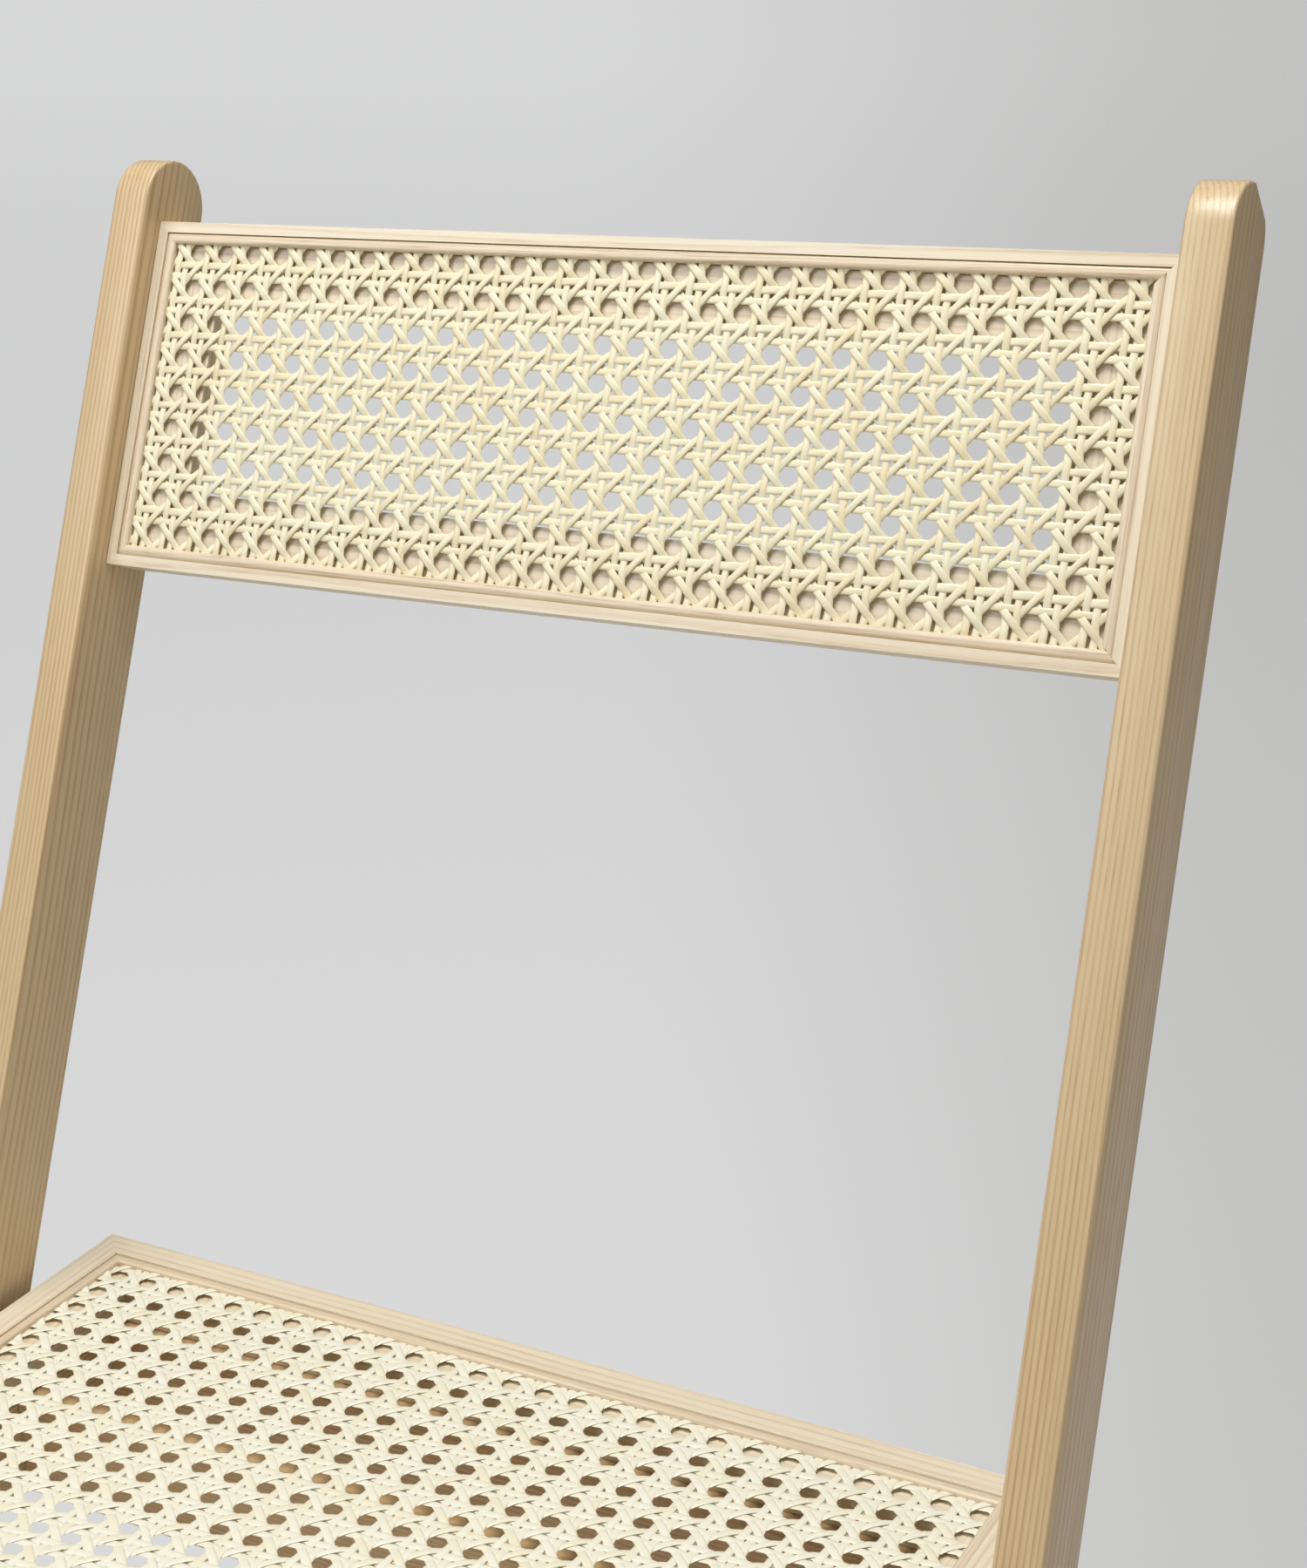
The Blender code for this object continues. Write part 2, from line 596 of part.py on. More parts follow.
def build_seat():
    """Cane frame on its bearers. The frame's origin is the seat pivot."""
    frame = empty("seat", (0, PIVOT_Y, PIVOT_HEIGHT), -SEAT_TILT)
    centre = (SEAT_AFT - SEAT_FORE) / 2
    rim = Matrix.Translation((0, 0, RIM_ABOVE_PIVOT))
    names = {"near": "front", "far": "rear", "left": "left", "right": "right"}
    rails = mitred_frame("seat", names, frame, SEAT_WIDTH, SEAT_DEPTH, SEAT_LIP, centre, rim)
    cane_sheet("seat_cane", frame, SEAT_WIDTH, SEAT_DEPTH, SEAT_LIP, centre, rim, SEAT_OPENINGS)

    screws = seat_screw_spots()
    bearer_x = (BEARER_INSIDE + BEARER_OUTSIDE) / 2
    aprons = {"front": -SEAT_FORE + BEARER_SET_BACK + APRON_THICKNESS / 2, "middle": -MIDDLE_RAIL_AHEAD,
              "rear": SEAT_AFT - REAR_APRON_SET_BACK - APRON_THICKNESS / 2}
    for name, side in SIDES:
        size = (BEARER_WIDTH, SEAT_DEPTH - 2 * BEARER_SET_BACK, BEARER_HEIGHT)
        bearer = place(box(f"seat_bearer_{name}", size), frame, (side * bearer_x, centre, 0), finish=ASH)
        bevel(bearer, BEARER_EDGE)
        own_screws = [spot for spot in screws.values() if spot[0] * side > 0]
        holes = [bore(frame, CROSSBAR_RADIUS + GAP, 2 * BEARER_WIDTH, side * bearer_x, CROSSBAR_IN_SEAT_Y,
                      -CROSSBAR_DROP, 32),
                 bore(frame, INSERT_RADIUS + GAP, 2 * (INSERT_LENGTH + GAP), side * BEARER_OUTSIDE, 0, 0)]
        holes += [apron_mortise(frame, side, y) for y in aprons.values()]
        holes += [screw_hole(frame, spot) for spot in own_screws]
        cut(bearer, holes)
        cut(rails[name], [screw_hole(frame, spot) for spot in own_screws])
        ring(f"seat_pivot_insert_{name}", frame, INSERT_RADIUS, INSERT_LENGTH,
             side * (BEARER_OUTSIDE - INSERT_LENGTH / 2), 0, 0, STEEL)
    for name, y in aprons.items():
        apron(f"seat_apron_{name}", frame, y)
    for name, spot in screws.items():
        screw(f"seat_screw_{name}", frame, spot)


def build_rear_legs():
    """Rear legs, the crossbar that carries the seat, and their stretcher."""
    crossing_y = PIVOT_Y - CROSSING_AHEAD
    frame = empty("rear_legs", (0, crossing_y, CROSSING_HEIGHT), LEG_LEAN)
    top = CROSSBAR_ALONG_LEG + LEG_DEPTH / 2
    foot = foot_point(LEG_LEAN, CROSSING_HEIGHT)
    stretcher_z = -(CROSSING_HEIGHT - REAR_STRETCHER_HEIGHT) / cos(LEG_LEAN)
    middle = (LEG_INSIDE + LEG_OUTSIDE) / 2
    for name, side in SIDES:
        outline = post_and_leg_outline(LEG_DEPTH, top, -LEG_LEAN, CROSSING_HEIGHT)
        leg = place(extruded(f"rear_leg_{name}", outline, LEG_WIDTH), frame, (side * middle, 0, 0),
                    finish=ASH)
        bevel(leg, LEG_EDGE, 3)
        smooth(leg)
        cut(leg, [bore(frame, HOLE_RADIUS, 2 * LEG_WIDTH, side * middle, 0, 0),
                  tenon_hole(frame, side, LEG_INSIDE, 0, CROSSBAR_ALONG_LEG),
                  tenon_hole(frame, side, LEG_INSIDE, 0, stretcher_z),
                  glide_hole(frame, side * middle, 0, foot, LEG_LEAN)])
        glide(f"rear_glide_{name}", frame, side * middle, 0, foot, LEG_LEAN)
        cap_nut(f"leg_pivot_nut_{name}", frame, side, LEG_INSIDE, 0, 0)
    round_bar("seat_crossbar", frame, CROSSBAR_RADIUS, 2 * LEG_INSIDE, 0, CROSSBAR_ALONG_LEG, ASH)
    round_bar("rear_stretcher", frame, STRETCHER_RADIUS, 2 * LEG_INSIDE, 0, stretcher_z, ASH)


clear_scene()
PARTS = collection("folding_cane_chair")
CUTTERS = collection("cutters")
build_back_frame()
build_seat()
build_rear_legs()
bpy.context.view_layer.update()
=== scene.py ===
"""Looks of the folding cane chair: ash frame, woven cane back and seat, and the studio round it.

Lengths are in metres. X runs across the chair, Y to its back and Z up.
"""

from math import cos, pi, radians, sin

import bpy
import numpy as np
from mathutils import Matrix, Vector


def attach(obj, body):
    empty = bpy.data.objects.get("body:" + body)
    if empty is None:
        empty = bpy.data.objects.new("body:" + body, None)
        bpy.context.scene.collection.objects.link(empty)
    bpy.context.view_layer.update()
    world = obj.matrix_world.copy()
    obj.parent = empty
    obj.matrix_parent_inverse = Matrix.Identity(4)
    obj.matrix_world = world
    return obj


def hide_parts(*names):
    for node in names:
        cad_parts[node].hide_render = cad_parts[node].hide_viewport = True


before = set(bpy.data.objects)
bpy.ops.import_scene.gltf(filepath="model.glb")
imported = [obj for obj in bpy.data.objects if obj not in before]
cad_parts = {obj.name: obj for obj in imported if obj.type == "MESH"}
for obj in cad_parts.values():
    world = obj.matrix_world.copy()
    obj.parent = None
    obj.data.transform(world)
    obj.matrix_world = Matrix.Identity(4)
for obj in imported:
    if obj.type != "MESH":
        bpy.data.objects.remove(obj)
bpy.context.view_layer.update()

# Frames of the three bodies: the seat's pivot, the legs' crossing and how far each body leans
PIVOT = (0.0, 0.038142, 0.393380)
CROSSING = (0.0, -0.026907, 0.258219)
POST_LEAN = radians(25.7)
SEAT_TILT = radians(3.0)
LEG_LEAN = radians(40.01)
BACK = Matrix.Translation(PIVOT) @ Matrix.Rotation(-POST_LEAN, 4, "X")
SEAT = Matrix.Translation(PIVOT) @ Matrix.Rotation(-SEAT_TILT, 4, "X")
LEGS = Matrix.Translation(CROSSING) @ Matrix.Rotation(LEG_LEAN, 4, "X")

# Where the photograph was taken from
VIEWPOINT = (0.443609, -0.573776, 0.956177)

# Posts and legs: a pair is the width and the depth of a section
SPACING = 0.382                         # between the posts
POST = (0.015, 0.034)
POST_TOP = 0.4538                       # seat pivot to the top of a post
TOP_FLAT = (radians(30), radians(93))   # part of the right post's round top that is sawn flat
POST_MIDDLE = 0.1985                    # middle of the chair to the middle of a post
LEG = (0.015, 0.028)
LEG_MIDDLE = 0.1817                     # middle of the chair to the middle of a rear leg
LEG_SPACING = 0.3484                    # between the rear legs
FOOT = 0.0033                           # floor to the wood of a foot
BOARD_EDGE = 0.0010                     # radius of a board's long edges

# Round bars
BAR_RADIUS = 0.009
CROSSBAR_RADIUS = 0.010
CROSSBAR = 0.15875                      # legs' crossing to the crossbar, along a leg
FRONT_BAR_HEIGHT = 0.091
REAR_BAR_HEIGHT = 0.105
TENON = (0.006, 0.010)                  # radius and length
GAP = 0.0003                            # clearance between two pieces that touch

# Frames that hold the cane
BACK_HALF = (0.1907, 0.0633)            # half the width and half the height
SEAT_HALF = (0.186, 0.1775)             # half the width and half the depth
BACK_MIDDLE = 0.3666                    # seat pivot to the middle of the back, along the posts
SEAT_MIDDLE = -0.1065                   # seat pivot to the middle of the seat, along the seat
SEAT_TOP = 0.0318                       # seat pivot to the top of the seat
RAIL_WIDTH = 0.0285
RAIL_THICK = 0.0145
RAIL_EDGE = 0.0004                      # radius of a rail's edges
LEDGE_DROP = 0.0036                     # rim of a frame down to the ledge under the cane
GROOVE = (0.0039, 0.0035)               # width and depth
BACK_LIP = 0.0039
RIGHT_LIP = 0.0055                      # the lip at the right end of the back
SEAT_LIP = 0.0107
MITRE_GAP = 0.00001
BACK_LIPS = (BACK_LIP, BACK_LIP, BACK_LIP, RIGHT_LIP)
SEAT_LIPS = (SEAT_LIP,) * 4
REED_HALF = 0.00193
REED_SUNK = 0.00015                     # rim of a frame down to the top of the reed
REED_POWER = 0.6                        # 1 makes the reed round, and less makes it squarer
BACK_RIM = BACK @ Matrix.Translation((0, -RAIL_THICK / 2, BACK_MIDDLE)) @ Matrix.Rotation(pi / 2, 4, "X")
SEAT_RIM = SEAT @ Matrix.Translation((0, SEAT_MIDDLE, SEAT_TOP))

# Cane
CANE_DEPTH = 0.0021                     # rim of a frame down to the middle of the cane
DOWN_TO_CANE = Matrix.Translation((0, 0, -CANE_DEPTH))
STRAND_WIDTH = 0.00252
SEAT_STRAND_WIDTH = 0.00295
RISING_SHARE = 0.90                     # width of a rising strand against the others
STRAND_THICK = 0.00050
TUCK = 0.0006                           # how far the cane's edge lies inside the groove's inner side
UNDER_REED = 0.0016                     # how far a strand runs on under the reed
HIDDEN = 0.0016                         # a strand nearer than this to the cane's edge lies in the groove
DIVE_START = 0.0004
DIVE_LENGTH = 0.0020
DIVE_DEPTH = 0.0012

# Bolts and what goes with them, from the middle of the chair along X
LEG_BOLT = -0.150                       # seat bolt to leg bolt, along a post
BOLT_FACE = 0.206
SEAT_BOLT_REACH = 0.0453
LEG_BOLT_REACH = 0.0345
BOLT_RADIUS = 0.003
SPACER = (0.006, 0.1727, 0.1907)        # radius, inner end and outer end
WASHER = (0.009, 0.1895, 0.1907)
SLEEVE_BORE = 0.0033
NUT_FACE = 0.1739


# Mesh helpers

def carry(points, place):
    """Points times a 4 x 4 matrix."""
    m = np.array(place, float)
    return points @ m[:3, :3].T + m[:3, 3]


def new_piece(name, points, faces, material, body, replaces, angle, attributes):
    """A mesh with its place in its own points, smooth but for edges sharper than the angle."""
    mesh = bpy.data.meshes.new(name)
    mesh.from_pydata(points.tolist(), [], faces)
    for key, values in attributes.items():
        data = mesh.attributes.new(key, "FLOAT_VECTOR", "POINT")
        data.data.foreach_set("vector", np.asarray(values, np.float32).ravel())
    mesh.materials.append(material)
    mesh.shade_smooth()
    mesh.set_sharp_from_angle(angle=radians(angle))
    mesh.update()
    piece = bpy.data.objects.new(name, mesh)
    bpy.context.scene.collection.objects.link(piece)
    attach(piece, body)
    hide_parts(*replaces)
    return piece


def grid_faces(rows, columns):
    """Quads over a grid of rows x columns points, each row closed on itself."""
    r = np.arange(rows - 1)[:, None]
    c = np.arange(columns)[None, :]
    n = (c + 1) % columns
    here, above = r * columns, (r + 1) * columns
    return np.stack([here + c, here + n, above + n, above + c], -1).reshape(-1, 4)


def rounded(corners, radius, steps):
    """A polygon whose convex corners become arcs of the circle that touches both edges.

    Each arc turns evenly about its centre from the first edge's touching point to the second's.
    """
    p = np.array(corners, float)
    before = np.roll(p, 1, 0) - p
    after = np.roll(p, -1, 0) - p
    u = before / np.linalg.norm(before, axis=1)[:, None]
    v = after / np.linalg.norm(after, axis=1)[:, None]
    turn = u[:, 0] * v[:, 1] - u[:, 1] * v[:, 0]
    result = []
    for k in range(len(p)):
        if turn[k] >= 0:
            result.append(p[k][None])
            continue
        half = np.arccos(np.clip(u[k] @ v[k], -1, 1)) / 2
        centre = p[k] + (u[k] + v[k]) / np.linalg.norm(u[k] + v[k]) * radius / np.sin(half)
        start = p[k] + u[k] * radius / np.tan(half) - centre
        end = p[k] + v[k] * radius / np.tan(half) - centre
        t = np.linspace(0, 1, steps + 1)[:, None]
        sweep = pi - 2 * half
        arc = (np.sin((1 - t) * sweep) * start + np.sin(t * sweep) * end) / np.sin(sweep)
        result.append(centre + arc)
    return np.concatenate(result)


def inset(outline, distance):
    """The closed outline moved inwards: each point goes along the mitre of its two edges' normals."""
    edge = np.roll(outline, -1, 0) - outline
    edge /= np.linalg.norm(edge, axis=1)[:, None]
    normal = np.stack([-edge[:, 1], edge[:, 0]], 1)
    last = np.roll(normal, 1, 0)
    mitre = (normal + last) / (1 + (normal * last).sum(1))[:, None]
    return outline + mitre * distance


# Wooden pieces

def board(name, outline, width, x, place, edge, body, replaces, shift):
    """A sawn board: its side outline carried across its width, with each long edge a quarter circle.

    Ring k lies at x = +-(width / 2 - edge (1 - sin a)) and is drawn in by edge (1 - cos a).
    """
    a = np.linspace(pi / 2, 0, 5)
    side = width / 2 - edge * (1 - np.sin(a))
    across = np.concatenate([-side, side[::-1]])
    drawn_in = np.concatenate([edge * (1 - np.cos(a)), (edge * (1 - np.cos(a)))[::-1]])
    rings = [np.column_stack([np.full(len(outline), x + s), inset(outline, d)])
             for s, d in zip(across, drawn_in)]
    local = np.concatenate(rings)
    count = len(outline)
    faces = grid_faces(len(rings), count)[:, ::-1].tolist()
    faces.append(list(range(count)))
    faces.append(list(range(len(local) - 1, len(local) - 1 - count, -1)))
    grain = np.column_stack([local[:, 2], local[:, 0] - x, local[:, 1]]) + np.array(shift)
    return new_piece(name, carry(local, place), faces, ASH, body, replaces, 30,
                     {"grain": grain})


def sawn_outline(depth, top, lean, pivot_height, flat=None):
    """Side view of a post or leg: half circle at the top, straight sides, foot level with the floor.

    Between the two angles of a flat, the circle's points lie on its chord.
    """
    half = depth / 2
    t = np.linspace(0, pi, 49)
    arc = np.column_stack([half * np.cos(t), top - half + half * np.sin(t)])
    if flat:
        inside = (t > flat[0]) & (t < flat[1])
        first, last = arc[inside][0], arc[inside][-1]
        share = np.linspace(0, 1, inside.sum())[:, None]
        arc[inside] = first + share * (last - first)
    y = np.array([-half, half])
    foot = np.column_stack([y, -(pivot_height - FOOT - y * sin(lean)) / cos(lean)])
    return np.concatenate([arc, foot])


def rail(name, lip, length, place, body, replaces, shift):
    """A mitred frame rail: a section with a lip, a groove for the reed and a ledge under the cane."""
    ledge = RAIL_THICK - LEDGE_DROP
    inner = lip + GROOVE[0]
    section = rounded([(0, 0), (RAIL_WIDTH, 0), (RAIL_WIDTH, ledge), (inner, ledge),
                       (inner, ledge - GROOVE[1]), (lip, ledge - GROOVE[1]), (lip, RAIL_THICK),
                       (0, RAIL_THICK)][::-1], RAIL_EDGE, 3)
    return mitred(name, section, length, place, PALE_ASH, body, replaces, shift)


def reed(name, lip, length, place, body, replaces, shift):
    """The reed that wedges the cane: a circle whose sine and cosine are raised to a power below 1."""
    t = np.linspace(0, 2 * pi, 28, endpoint=False)
    y = lip + GROOVE[0] / 2 + REED_HALF * np.sign(np.cos(t)) * np.abs(np.cos(t)) ** REED_POWER
    z = RAIL_THICK - REED_SUNK - REED_HALF * (1 - np.sign(np.sin(t)) * np.abs(np.sin(t)) ** REED_POWER)
    section = np.column_stack([y, z])[::-1]
    return mitred(name, section, length, place, REED, body, replaces, shift)


def mitred(name, section, length, place, material, body, replaces, shift):
    """A section in Y and Z carried along X in eight steps, with ends sawn at 45 degrees.

    A point of the section that lies a distance in from the outer edge ends that much short of L / 2.
    """
    t = np.linspace(-1, 1, 9)
    reach = length / 2 - section[:, 0] - MITRE_GAP / 2
    x = t[:, None] * reach[None]
    y, z = (np.broadcast_to(section[:, k], x.shape) for k in (0, 1))
    local = np.stack([x, y, z], -1).reshape(-1, 3)
    count = len(section)
    faces = grid_faces(len(t), count).tolist()
    faces.append(list(range(count))[::-1])
    faces.append(list(range(len(local) - count, len(local))))
    grain = local + np.array(shift)
    return new_piece(name, carry(local, place), faces, material, body, replaces, 30,
                     {"grain": grain})


def frame_of_rails(prefix, sides, half, lips, place, body, seed):
    """Four rails and four reeds round a panel. The panel lies in X and Y, with its rim at Z = 0.

    The sides and lips are those at low Y, high Y, low X and high X.
    """
    width, height = 2 * half[0], 2 * half[1]
    layout = ((0, -1, 0.0), (0, 1, pi), (-1, 0, -pi / 2), (1, 0, pi / 2))
    for k, ((sx, sy, angle), side, lip) in enumerate(zip(layout, sides, lips)):
        length = width if sx == 0 else height
        at = Matrix.Translation((sx * width / 2, sy * height / 2, -RAIL_THICK))
        local = place @ at @ Matrix.Rotation(angle, 4, "Z")
        shift = (1.3 * k + seed, 0.021 * k - 0.03, 0.013 * k + 0.02)
        rail(f"{prefix}_{side}_rail", lip, length, local, body, [f"{prefix}_rail_{side}"], shift)
        reed(f"{prefix}_{side}_reed", lip, length, local, body, [f"{prefix}_spline_{side}"], shift)


def turned(name, profile, place, material, body, replaces, shift=(0, 0, 0)):
    """A turned piece: a profile of radius and height, from the top down, swept round its own Z."""
    sides = 48
    profile = np.array(profile, float)
    t = np.linspace(0, 2 * pi, sides, endpoint=False)
    r, z = profile[:, 0], profile[:, 1]
    level = np.broadcast_to(z[:, None], (len(r), sides))
    local = np.stack([r[:, None] * np.cos(t), r[:, None] * np.sin(t), level], -1).reshape(-1, 3)
    faces = grid_faces(len(profile), sides)[:, ::-1].tolist()
    if r[0] > 1e-6:
        faces.append(list(range(sides)))
    if r[-1] > 1e-6:
        faces.append(list(range(len(local) - 1, len(local) - 1 - sides, -1)))
    grain = local[:, [2, 0, 1]] + np.array(shift)
    return new_piece(name, carry(local, place), faces, material, body, replaces, 30,
                     {"grain": grain})


def along_x(x, z, side=1):
    """Places a turned piece with its own Z along X, pointing outwards on that side."""
    return Matrix.Translation((x, 0, z)) @ Matrix.Rotation(side * pi / 2, 4, "Y")


def softened(points, radius=0.0006, steps=3):
    """A profile whose corners become short quadratic curves, so that turned edges aren't razor sharp.

    A curve starts and ends a radius from its corner, and the corner is its middle control point.
    """
    p = np.array(points, float)
    result = [p[:1]]
    for k in range(1, len(p) - 1):
        u = p[k - 1] - p[k]
        v = p[k + 1] - p[k]
        reach = min(radius, np.linalg.norm(u) / 2.2, np.linalg.norm(v) / 2.2)
        a = p[k] + u / np.linalg.norm(u) * reach
        b = p[k] + v / np.linalg.norm(v) * reach
        t = np.linspace(0, 1, steps + 1)[:, None]
        result.append((1 - t) ** 2 * a + 2 * t * (1 - t) * p[k] + t ** 2 * b)
    result.append(p[-1:])
    return np.concatenate(result)


# Woven cane

def strand_mesh(paths, half_widths, seeds):
    """Strands of cane: a flat strip with a convex face carried along each path.

    At each point the section's side runs along normal x tangent and its height along tangent x side.
    """
    across = np.array([-1.0, -0.90, -0.45, 0.45, 0.90, 1.0, 0.82, -0.82])
    height = np.array([-0.05, 0.30, 0.50, 0.50, 0.30, -0.05, -0.45, -0.45])
    points, faces, marks = [], [], []
    start = 0
    for path, half, seed in zip(paths, half_widths, seeds):
        tangent = np.gradient(path, axis=0)
        tangent /= np.linalg.norm(tangent, axis=1)[:, None]
        side = np.cross(np.array([0.0, 0.0, 1.0]), tangent)
        side /= np.linalg.norm(side, axis=1)[:, None]
        up = np.cross(tangent, side)
        ring = (path[:, None] + side[:, None] * (across * half)[None, :, None]
                + up[:, None] * (height * STRAND_THICK)[None, :, None])
        n, k = len(path), len(across)
        steps = np.linalg.norm(np.diff(path, axis=0), axis=1)
        length = np.concatenate([[0], np.cumsum(steps)])
        points.append(ring.reshape(-1, 3))
        marks.append(np.stack([np.repeat(length, k), np.tile(across, n), np.full(n * k, seed)], 1))
        faces.append(grid_faces(n, k) + start)
        start += n * k
    return np.concatenate(points), np.concatenate(faces)[:, ::-1].tolist(), np.concatenate(marks)


class Weave:
    """Six-way cane: pairs of upright and level strands with two diagonals round each open hole.

    The pattern is written in pitches from an open hole, with v running down. Upright strands wave by
    +-OVER sin(2 pi v) out of the panel, level ones by +-OVER sin(2 pi u), and the diagonals rise to
    +DIAGONAL over one pair and fall to -DIAGONAL under the other. Each strand also bows in the panel by
    a small cosine, because the strands that cross it pull it aside.
    """

    OVER = 0.00028
    DIAGONAL = 0.00054
    # Each strand of a pair: its place, the sign of its wave, its bow and where the bow is widest
    UPRIGHT = ((0.388, 1, 0.012, 0.14), (0.668, -1, 0.018, 0.16))
    LEVEL = ((0.338, -1, 0.008, 0.62), (0.650, 1, 0.008, 0.30))
    # Place and bow of the diagonals
    RISING = (0.505, -0.022)
    FALLING = (-0.569, 0.008)

    def __init__(self, pitch, hole, low, high, seed, width):
        self.pitch, self.hole, self.width = np.array(pitch), np.array(hole), width
        self.low, self.high = np.array(low), np.array(high)
        corner = (np.array([low, high]) - self.hole) / self.pitch
        self.u = (corner[0, 0], corner[1, 0])
        self.v = (-corner[1, 1], -corner[0, 1])
        self.random = np.random.default_rng(seed)

    def place(self, u, v, z):
        """Pitches to metres in the panel's plane; near the reed the strand dives into the groove."""
        x = self.hole[0] + u * self.pitch[0]
        y = self.hole[1] - v * self.pitch[1]
        near = np.minimum(np.minimum(x - self.low[0], self.high[0] - x),
                          np.minimum(y - self.low[1], self.high[1] - y))
        inside = near > -UNDER_REED
        dive = np.clip((DIVE_START - near) / DIVE_LENGTH, 0, 1) ** 2 * DIVE_DEPTH
        path = np.stack([x, y, z - dive], 1)
        return path[inside]

    def drift(self, t, size=0.012):
        """Slow sideways drift of one strand: two sines with random phases."""
        a, b = self.random.uniform(0, 2 * pi, 2)
        return size * (0.6 * np.sin(0.9 * t + a) + 0.4 * np.sin(2.3 * t + b))

    def finish(self, paths, share=1.0):
        """The strands that are long enough, each with its own width and its own number for its tone."""
        paths = [p for p in paths if len(p) > 2]
        half = share * self.width / 2 * self.random.normal(1.0, 0.045, len(paths)).clip(0.9, 1.1)
        return paths, half, self.random.uniform(0, 1, len(paths))

    def upright(self):
        """Pairs of strands along the panel's Y."""
        v = np.arange(np.floor(self.v[0]) - 0.2, np.ceil(self.v[1]) + 0.2, 1 / 8)
        paths = []
        for k in range(int(np.floor(self.u[0])) - 1, int(np.ceil(self.u[1])) + 1):
            for at, sign, bow, crest in self.UPRIGHT:
                u = k + at + self.drift(v) + bow * np.cos(2 * pi * (v - crest))
                if self.shows(u.mean(), 0):
                    paths.append(self.place(u, v, sign * self.OVER * np.sin(2 * pi * v)))
        return self.finish(paths)

    def shows(self, at, axis):
        """Whether a strand along the other axis lies inside the reeds and not in a groove."""
        middle = self.hole[axis] + at * self.pitch[axis] * (1 if axis == 0 else -1)
        return self.low[axis] + HIDDEN < middle < self.high[axis] - HIDDEN

    def level(self):
        """Pairs of strands along the panel's X."""
        u = np.arange(np.floor(self.u[0]) - 0.2, np.ceil(self.u[1]) + 0.2, 1 / 8)
        paths = []
        for k in range(int(np.floor(self.v[0])) - 1, int(np.ceil(self.v[1])) + 1):
            for at, sign, bow, crest in self.LEVEL:
                v = k + at + self.drift(u) + bow * np.cos(2 * pi * (u - crest))
                if self.shows(v.mean(), 1):
                    paths.append(self.place(u, v, sign * self.OVER * np.sin(2 * pi * u)))
        return self.finish(paths)

    def diagonal(self, rising):
        """Rising strands pass over the level pairs, falling ones over the upright pairs."""
        u = np.arange(np.floor(self.u[0]) - 0.3, np.ceil(self.u[1]) + 0.3, 1 / 12)
        spread = int(np.ceil(self.u[1] - self.u[0] + self.v[1] - self.v[0])) + 4
        lift = self.DIAGONAL * np.sin(pi / 2 * np.cos(2 * pi * u))
        paths = []
        for k in range(-spread, spread):
            if rising:
                at, bow = self.RISING
                v = k + at - u + bow * np.sin(2 * pi * u) + self.drift(u, 0.010)
                z = lift
            else:
                at, bow = self.FALLING
                v = k + at + u + bow * np.cos(2 * pi * (u - 0.2)) + self.drift(u, 0.010)
                z = -lift
            paths.append(self.place(u, v, z))
        return self.finish(paths, RISING_SHARE if rising else 1.0)


def weave_pieces(prefix, weave, place, body, node, material):
    """Four meshes for one panel: upright, level, rising and falling strands."""
    sets = {"upright_cane": weave.upright(), "level_cane": weave.level(),
            "rising_cane": weave.diagonal(True), "falling_cane": weave.diagonal(False)}
    for name, strands in sets.items():
        points, faces, marks = strand_mesh(*strands)
        new_piece(f"{prefix}_{name}", carry(points, place), faces, material, body, [node], 60,
                  {"strand": marks})


# Shader helpers

def add(tree, kind, inputs=None, **settings):
    """A node with its settings and inputs; an input is a plain value or another node's output."""
    made = tree.nodes.new(kind)
    for key, value in settings.items():
        setattr(made, key, value)
    for key, value in (inputs or {}).items():
        socket = made.inputs[key]
        if isinstance(value, bpy.types.NodeSocket):
            tree.links.new(value, socket)
        else:
            socket.default_value = value
    return made


def calc(tree, operation, a, b=0.0, clamp=False):
    """One step of arithmetic on values or other nodes' outputs."""
    return add(tree, "ShaderNodeMath", {0: a, 1: b}, operation=operation, use_clamp=clamp).outputs[0]


def ramp(tree, value, low, high, to_low=0.0, to_high=1.0):
    """A smooth step from to_low to to_high while the value goes from low to high."""
    sockets = {"Value": value, "From Min": low, "From Max": high, "To Min": to_low, "To Max": to_high}
    return add(tree, "ShaderNodeMapRange", sockets, interpolation_type="SMOOTHSTEP").outputs["Result"]


def scaled(tree, vector, scale):
    """The vector stretched along each axis by its own factor."""
    return add(tree, "ShaderNodeVectorMath", {0: vector, 1: scale}, operation="MULTIPLY").outputs[0]


def noise(tree, vector, scale=1.0, detail=2.0, roughness=0.5):
    """Plain noise from 0 to 1."""
    sockets = {"Vector": vector, "Scale": scale, "Detail": detail, "Roughness": roughness}
    return add(tree, "ShaderNodeTexNoise", sockets).outputs["Fac"]


def blend(tree, factor, a, b, kind="MIX"):
    """Colours a and b mixed or multiplied, with more of it as the factor goes from 0 to 1."""
    made = add(tree, "ShaderNodeMix", data_type="RGBA", blend_type=kind)
    for socket, value in ((made.inputs[0], factor), (made.inputs[6], a), (made.inputs[7], b)):
        if isinstance(value, bpy.types.NodeSocket):
            tree.links.new(value, socket)
        else:
            socket.default_value = value
    return made.outputs[2]


def group(name, inputs, outputs):
    """A shared node group with its named sockets."""
    tree = bpy.data.node_groups.new(name, "ShaderNodeTree")
    for label, kind, value in inputs:
        socket = tree.interface.new_socket(name=label, in_out="INPUT", socket_type=kind)
        if value is not None:
            socket.default_value = value
    for label, kind in outputs:
        tree.interface.new_socket(name=label, in_out="OUTPUT", socket_type=kind)
    return tree, tree.nodes.new("NodeGroupInput").outputs, tree.nodes.new("NodeGroupOutput").inputs


